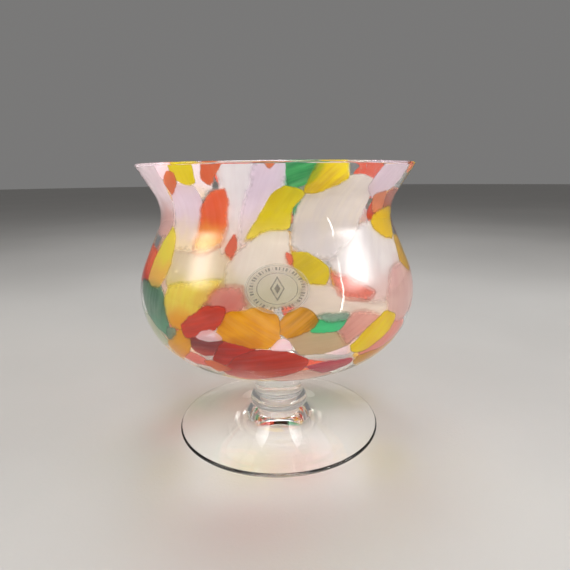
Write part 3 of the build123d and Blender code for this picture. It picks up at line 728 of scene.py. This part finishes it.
def chip_mesh(name, outlines, look, layer):
    """Melted chips in the wall, flat outside and swelling inwards. Slot 1 is a chip's fading edge."""
    lean = radians(look.lean)
    flow = Vector((cos(lean), sin(lean)))
    vertices, faces, slots = [], [], []
    edge_values, along_values, flow_values, wall_normals = [], [], [], []
    for index, corners in enumerate(outlines):
        middle = sum(c[0] for c in corners) / len(corners)
        middle_down = sum(c[1] for c in corners) / len(corners)
        girth = radians(1) * wall_station(middle_down)[0]
        outer_depth = CASING + CHIP_OUTSIDE + LAYER_GAP * (layer + index / (len(outlines) + 1))
        thickest = min(CHIP_THICK, JOINT_DEPTH - JOINT_CLEAR - outer_depth)
        top_y = middle_down - (RIM_ROUND + (outer_depth + thickest) * sin(FLARE)) / cos(FLARE)
        flat = []
        for azimuth, down in corners:
            past_rim = 0 if down > RIM_NEAR else RIM_REACH
            flat.append(Vector(((azimuth - middle) * girth, middle_down - (down - past_rim))))
        if signed_area(flat) < 0:
            flat.reverse()
        seed = layer * LAYER_SEED + index * CHIP_SEED
        whole = melted_outline(flat, seed, look.spread)
        outline = [Vector((p.x, min(p.y, top_y))) for p in whole]
        low = Vector((min(p.x for p in outline), min(p.y for p in outline)))
        high = Vector((max(p.x for p in outline), max(p.y for p in outline)))
        points = list(outline)
        rows = int((high.y - low.y) / (GRAIN * ROW_GRAIN)) + 1
        for row in range(rows):
            y = low.y + row * GRAIN * ROW_GRAIN
            x = low.x + (row % 2) * GRAIN / 2
            while x < high.x:
                point = Vector((x, y))
                if inside(point, outline) and edge_distance(point, outline) > GRAIN * EDGE_CLEAR:
                    points.append(point)
                x += GRAIN
        found = geometry.delaunay_2d_cdt(points, [], [list(range(len(outline)))], 1, 1e-6)
        flat_points, triangles = found[0], found[2]
        edges = [edge_distance(p, outline) for p in flat_points]
        fades = [edge_distance(p, whole) for p in flat_points]
        top_of, bottom_of = {}, {}
        for i, point in enumerate(flat_points):
            edge = edges[i] if edges[i] > 1e-4 else 0.0
            body = thickest * sqrt(max(1 - (1 - min(edge / CHIP_ROUND, 1)) ** 2, 0))
            azimuth, down = middle + point.x / girth, middle_down - point.y
            along = (high.y - point.y) / (high.y - low.y)
            run, across = point.dot(flow), point.dot(Vector((-flow.y, flow.x)))
            tilt, turn = wall_station(down)[2], radians(azimuth)
            outward = Vector((cos(tilt) * sin(turn), -cos(tilt) * cos(turn), sin(tilt)))
            for depth, store in ((outer_depth, top_of), (outer_depth + body, bottom_of)):
                if store is bottom_of and edge == 0.0:
                    bottom_of[i] = top_of[i]
                    continue
                store[i] = len(vertices)
                vertices.append(on_bowl(azimuth, down, depth))
                wall_normals.append(outward)
                edge_values.append(fades[i])
                along_values.append(along)
                flow_values.append((run, across, seed))
        for triangle in triangles:
            furthest = max(along_values[top_of[i]] for i in triangle)
            nearest = min(along_values[top_of[i]] for i in triangle)
            soft = [look.soft_top + (look.soft_foot - look.soft_top) * a**2 for a in (nearest, furthest)]
            fading = min(fades[i] for i in triangle) < max(soft) + FADE_MARGIN
            faces.append([top_of[i] for i in triangle])
            faces.append([bottom_of[i] for i in reversed(triangle)])
            slots += [int(fading)] * 2
    mesh = bpy.data.meshes.new(name)
    mesh.from_pydata(vertices, [], faces)
    mesh.polygons.foreach_set("material_index", slots)
    for attribute, values in (("edge", edge_values), ("along", along_values)):
        mesh.attributes.new(attribute, "FLOAT", "POINT").data.foreach_set("value", values)
    flat_flow = [value for row in flow_values for value in row]
    mesh.attributes.new("flow", "FLOAT_VECTOR", "POINT").data.foreach_set("vector", flat_flow)
    face_outwards(mesh)
    corner_normals = []  # the faces meet at a thin edge, so each is shaded the way its wall faces
    for polygon in mesh.polygons:
        polygon.use_smooth = True
        for vertex in polygon.vertices:
            outward = wall_normals[vertex]
            corner_normals.append(outward if polygon.normal.dot(outward) > 0 else -outward)
    mesh.normals_split_custom_set(corner_normals)
    return mesh


BACKLIGHT = 0.42  # share of a chip's glow that comes through it rather than off it
STREAK_SHAPE = (0.035, 0.42, 1.0)  # streaks run long along the flow and lie close across it
STREAK_SHARE, BLEND_EDGE = 0.6, 0.14  # streaks against clouds, and how sharply the colours part
OWN_TONE = 0.7  # how far each chip round the back has a tone of its own
WISP = 0.16


def chip_glass(node, look, fading):
    """Coloured glass melted into the wall: streaked, lit from both sides, its edge thinning to clear."""
    n = Nodes(f"{node}_edge" if fading else f"{node}_glass")
    one, two = linear(look.one), linear(look.two)
    flow = n.attribute("flow", "Vector")
    along = n.attribute("along")
    drawn = n.add("ShaderNodeMapping", {"Vector": flow, "Scale": STREAK_SHAPE}).outputs[0]
    streaks = n.noise(drawn, 1.0, detail=5.0, rough=0.62, distortion=0.5)
    clouds = n.noise(flow, 0.09, detail=2.0)
    mottled = n.maths("MULTIPLY", clouds, 1 - STREAK_SHARE)
    mottled = n.maths("ADD", n.maths("MULTIPLY", streaks, STREAK_SHARE), mottled)
    even = 0.5 - 0.3 * look.streak
    share = n.ramp(mottled, 0.5 - BLEND_EDGE, 0.5 + BLEND_EDGE, even * 0.6, 1 - even)
    if node.endswith("round_back"):
        seed = n.add("ShaderNodeSeparateXYZ", {0: flow}).outputs[2]
        tone = n.add("ShaderNodeTexWhiteNoise", noise_dimensions="1D")
        n.put(tone.inputs["W"], seed)
        own = n.maths("MULTIPLY", tone.outputs["Value"], OWN_TONE)
        share = n.maths("ADD", own, n.maths("MULTIPLY", share, 1 - OWN_TONE))
    colour = n.mix(share, one, two)
    wisps = n.noise(drawn, 0.45, detail=3.0, distortion=1.2)
    thin = tuple(0.6 + 0.4 * (a + b) / 2 for a, b in zip(one, two))
    colour = n.mix(n.ramp(wisps, 0.4, 0.75, 0.0, WISP * look.streak**2), colour, thin)
    # The foot colour is each chip's own change of colour. On the orange and white chips of the left belly
    # it is partly painted highlight as well.
    if look.foot_colour is not None:
        ragged = n.maths("MULTIPLY", n.maths("SUBTRACT", clouds, 0.5), 0.5)
        turning = n.ramp(n.maths("ADD", along, ragged), 0.42, 0.9)
        colour = n.mix(turning, colour, linear(look.foot_colour))
    rough, normal = n.ramp(streaks, 0.3, 0.7, 0.42, 0.6), n.bump(streaks, 0.00005)
    inputs = {"Base Color": colour, "Roughness": rough, "Specular IOR Level": 0.1, "Normal": normal}
    body = n.add("ShaderNodeBsdfPrincipled", inputs)
    glow = n.add("ShaderNodeBsdfTranslucent", {"Color": colour})
    shader = n.shader_mix(BACKLIGHT, body.outputs[0], glow.outputs[0])
    if fading:
        edge = n.attribute("edge")
        squared = n.maths("MULTIPLY", along, along)
        soft = n.ramp(squared, 0, 1, look.soft_top, look.soft_foot, smooth=False)
        wander = n.noise(flow, 0.5, detail=2.0)
        reach = n.maths("MULTIPLY", soft, n.ramp(wander, 0.3, 0.7, 0.7, 1.1))
        solid = n.ramp(n.maths("DIVIDE", edge, reach), 0.0, 1.0)
        clear = n.add("ShaderNodeBsdfTransparent")
        shader = n.shader_mix(solid, clear.outputs[0], shader)
    pale = tuple(0.35 + 0.65 * c for c in one[:3]) + (1,)
    return n.finish(n.lamps_through(shader, pale))


laying_order = sorted(CHIPS, key=lambda chips: not chips.startswith("small"))  # small ones on top
for layer, name in enumerate(laying_order):
    look = looks[name]
    mesh = chip_mesh(f"melted_{name}", outlines_of[name], look, layer)
    glasses = [chip_glass(name, look, False), chip_glass(name, look, True)]
    new_piece(f"melted_{name}", mesh, glasses, [name])

# ---- The clear film label ----
LABEL_DOWN, LABEL_TALL, LABEL_FILM, LABEL_LIFT = 57.5, 21.5, 0.13, 0.02
LABEL_RINGS, LABEL_SIDES = 26, 120
DASH_WAVE, DASH_BEAT = 44.0, 17.0  # two waves round the oval that make uneven dashes


def label_mesh():
    """A thin oval film laid on the belly. Its label attribute holds each point's place on the oval."""
    around = LABEL_SIDES
    girth = radians(1) * wall_station(LABEL_DOWN)[0]
    levels = []
    vertices, places, faces = [], [], []
    for depth in (-LABEL_FILM - LABEL_LIFT, -LABEL_LIFT):
        grid = []
        for ring in range(LABEL_RINGS + 1):
            share = ring / LABEL_RINGS
            steps = around if ring else 1
            row = []
            for step in range(steps):
                turn = 2 * pi * step / around
                x, y = LABEL_WIDTH / 2 * share * cos(turn), LABEL_TALL / 2 * share * sin(turn)
                point = on_bowl(x / girth, LABEL_DOWN - y, depth)
                row.append(len(vertices))
                vertices.append(hand_worked(point, CASING_BREATH))
                places.append((share * cos(turn), share * sin(turn), share))
            grid.append(row)
        levels.append(grid)
        for ring in range(LABEL_RINGS):
            faces += [band_face(grid[ring], grid[ring + 1], step, around) for step in range(around)]
    front, back = levels[0][-1], levels[1][-1]
    faces += [band_face(front, back, step, around) for step in range(around)]
    mesh = bpy.data.meshes.new("clear_film_label")
    mesh.from_pydata(vertices, [], faces)
    mesh.attributes.new("label", "FLOAT_VECTOR", "POINT").data.foreach_set(
        "vector", [value for row in places for value in row]
    )
    face_outwards(mesh)
    return mesh


def label_film():
    """Clear film printed with a plain ring of dashes between two thin ovals and a small lozenge."""
    n = Nodes("label_film")
    place = n.attribute("label", "Vector")
    x, y, share = n.add("ShaderNodeSeparateXYZ", {0: place}).outputs
    angle = n.maths("ARCTAN2", y, x)

    def band(value, centre, half, soft=0.012):
        """1 within half a width of the centre, and 0 past a soft edge."""
        away = n.maths("ABSOLUTE", n.maths("SUBTRACT", value, centre))
        return n.ramp(away, half, half + soft, 1.0, 0.0)

    wave = n.maths("SINE", n.maths("MULTIPLY", angle, DASH_WAVE))
    beat = n.maths("SINE", n.maths("MULTIPLY", angle, DASH_BEAT))
    uneven = n.maths("ADD", wave, n.maths("MULTIPLY", beat, 0.7))
    dashes = n.maths("MULTIPLY", n.ramp(uneven, 0.1, 0.5), band(share, 0.80, 0.055))
    oval = band(share, 0.94, 0.006)
    inner = band(share, 0.62, 0.006)
    reach = n.maths("ADD", n.maths("MULTIPLY", n.maths("ABSOLUTE", x), 2.2), n.maths("ABSOLUTE", y))
    lozenge = n.ramp(reach, 0.48, 0.51, 1.0, 0.0)
    hollow = n.ramp(n.maths("ABSOLUTE", n.maths("SUBTRACT", reach, 0.30)), 0.08, 0.11, 0.0, 1.0)
    ring = n.maths("MAXIMUM", dashes, n.maths("MULTIPLY", oval, 0.6))
    ink = n.maths("MAXIMUM", ring, n.maths("MAXIMUM", inner, n.maths("MULTIPLY", lozenge, hollow)))
    worn = n.noise(place, 9.0, detail=4.0)
    printed = n.maths("MULTIPLY", ink, n.ramp(worn, 0.25, 0.5, 0.35, 0.8))
    colour = n.mix(printed, linear("D8D2C8"), linear("4A4238"))
    rough, normal = n.ramp(worn, 0.3, 0.7, 0.12, 0.3), n.bump(worn, 0.00006)
    inputs = {"Base Color": colour, "Roughness": rough, "Normal": normal}
    film = n.add("ShaderNodeBsdfPrincipled", inputs)
    clear = n.add("ShaderNodeBsdfTransparent")
    edge = n.ramp(share, 0.965, 0.99, 0.0, 0.25)
    cover = n.maths("ADD", n.maths("MULTIPLY", printed, 0.55), n.maths("ADD", edge, 0.08))
    return n.finish(n.shader_mix(cover, clear.outputs[0], film.outputs[0]))


new_piece("clear_film_label", label_mesh(), [label_film()], ["maker_label"])

# ---- Floor, light and camera ----
def studio_floor():
    """A plain pale floor with a faint unevenness of tone."""
    n = Nodes("pale_floor")
    place = n.add("ShaderNodeTexCoord").outputs["Object"]
    tone = n.noise(place, 3.0, detail=5.0)
    colour = n.mix(n.ramp(tone, 0.3, 0.7), linear("B4B2AF"), linear("BDBBB8"))
    rough, normal = n.ramp(tone, 0.3, 0.7, 0.5, 0.62), n.bump(n.noise(place, 700.0, detail=2.0), 0.0001)
    inputs = {"Base Color": colour, "Roughness": rough, "Specular IOR Level": 0.3, "Normal": normal}
    surface = n.add("ShaderNodeBsdfPrincipled", inputs)
    return n.finish(surface.outputs[0])


FLOOR_RADIUS, FLOOR_DROP = 6.0, 0.0002
work = bmesh.new()
bmesh.ops.create_circle(work, cap_ends=True, segments=96, radius=FLOOR_RADIUS)
floor_mesh = bpy.data.meshes.new("studio_floor")
work.to_mesh(floor_mesh)
work.free()
floor_mesh.materials.append(studio_floor())
floor = linked("studio_floor", floor_mesh)
floor.location.z = -FLOOR_DROP  # clear of the foot, so the two faces don't lie in one plane

world = bpy.data.worlds.new("studio")
bpy.context.scene.world = world
world.use_nodes = True
background = world.node_tree.nodes["Background"]
background.inputs["Color"].default_value = (0.80, 0.79, 0.78, 1)
background.inputs["Strength"].default_value = 0.24

AIM = Vector((0, 0, 0.5 * HEIGHT * MM))
GLOW_FALL = 1.6


def softbox(name, azimuth, elevation, distance, width, height, watts, colour, soft=0.45, lean=0):
    """An area lamp round from the front, its glow fading towards its edges like a diffuser's."""
    lamp = bpy.data.lights.new(name, "AREA")
    lamp.shape, lamp.size, lamp.size_y = "RECTANGLE", width, height
    lamp.energy, lamp.color = watts, colour
    n = Nodes(name, lamp)
    place = n.add("ShaderNodeNewGeometry").outputs["Parametric"]
    fades = []
    for along in n.add("ShaderNodeSeparateXYZ", {0: place}).outputs[:2]:
        away = n.maths("ABSOLUTE", n.maths("SUBTRACT", along, 0.5))
        fades.append(n.ramp(away, 0.5 - soft, 0.5, 1.0, 0.0))
    glow = n.maths("POWER", n.maths("MULTIPLY", *fades), GLOW_FALL)
    n.finish(n.add("ShaderNodeEmission", {"Strength": glow}).outputs[0])
    turn, rise = radians(azimuth), radians(elevation)
    way = Vector((sin(turn) * cos(rise), -cos(turn) * cos(rise), sin(rise)))
    box = linked(name, lamp)
    box.location = AIM + way * distance
    facing = (-way).to_track_quat("-Z", "Y").to_matrix()
    box.rotation_euler = (facing @ Matrix.Rotation(radians(-lean), 3, "Z")).to_euler()
    box.visible_camera = False


# Degrees round and up, then metres away, wide and high, then watts, colour, softness and lean.
softbox("right_window", 70, 24, 0.78, 0.78, 0.44, 14, (1.0, 0.99, 0.97), 0.5)
softbox("left_window", -68, 27, 0.80, 0.66, 0.44, 8.5, (1.0, 0.95, 0.84), 0.5)
softbox("window_edge", 50, 13, 0.75, 0.022, 0.60, 0.9, (1.0, 0.97, 0.92), 0.2, 12)
softbox("overhead", 180, 72, 1.0, 0.9, 0.9, 30, (0.99, 0.99, 1.0))
softbox("front_fill", 8, 48, 1.2, 0.8, 0.5, 24, (0.99, 0.99, 1.0))

CAMERA_PLACE = Vector((0.0, -0.2638, 0.14883))
CAMERA_PITCH, CAMERA_YAW, CAMERA_ROLL = radians(13.51), radians(-0.98), radians(0.55)
CAMERA_LENS = 29.36

level = Vector((-sin(CAMERA_YAW), cos(CAMERA_YAW), 0))
ahead = level * cos(CAMERA_PITCH) - Vector((0, 0, sin(CAMERA_PITCH)))
right = Vector((cos(CAMERA_YAW), sin(CAMERA_YAW), 0))
upward = right.cross(ahead)
camera_x = right * cos(CAMERA_ROLL) - upward * sin(CAMERA_ROLL)
camera_y = right * sin(CAMERA_ROLL) + upward * cos(CAMERA_ROLL)
camera_data = bpy.data.cameras.new("camera")
camera_data.sensor_width, camera_data.lens = 36.0, CAMERA_LENS
camera_data.clip_start, camera_data.clip_end = 0.01, 50.0
camera = linked("camera", camera_data)
camera_turn = Matrix((camera_x, camera_y, -ahead)).transposed().to_4x4()
camera.matrix_world = Matrix.Translation(CAMERA_PLACE) @ camera_turn
bpy.context.scene.camera = camera

scene = bpy.context.scene
scene.view_settings.view_transform = "Standard"
scene.cycles.max_bounces = 20
scene.cycles.transmission_bounces = 16
scene.cycles.glossy_bounces = 8
scene.cycles.diffuse_bounces = 5
scene.cycles.transparent_max_bounces = 48
scene.cycles.sample_clamp_indirect = 6.0
scene.cycles.blur_glossy = 0.5
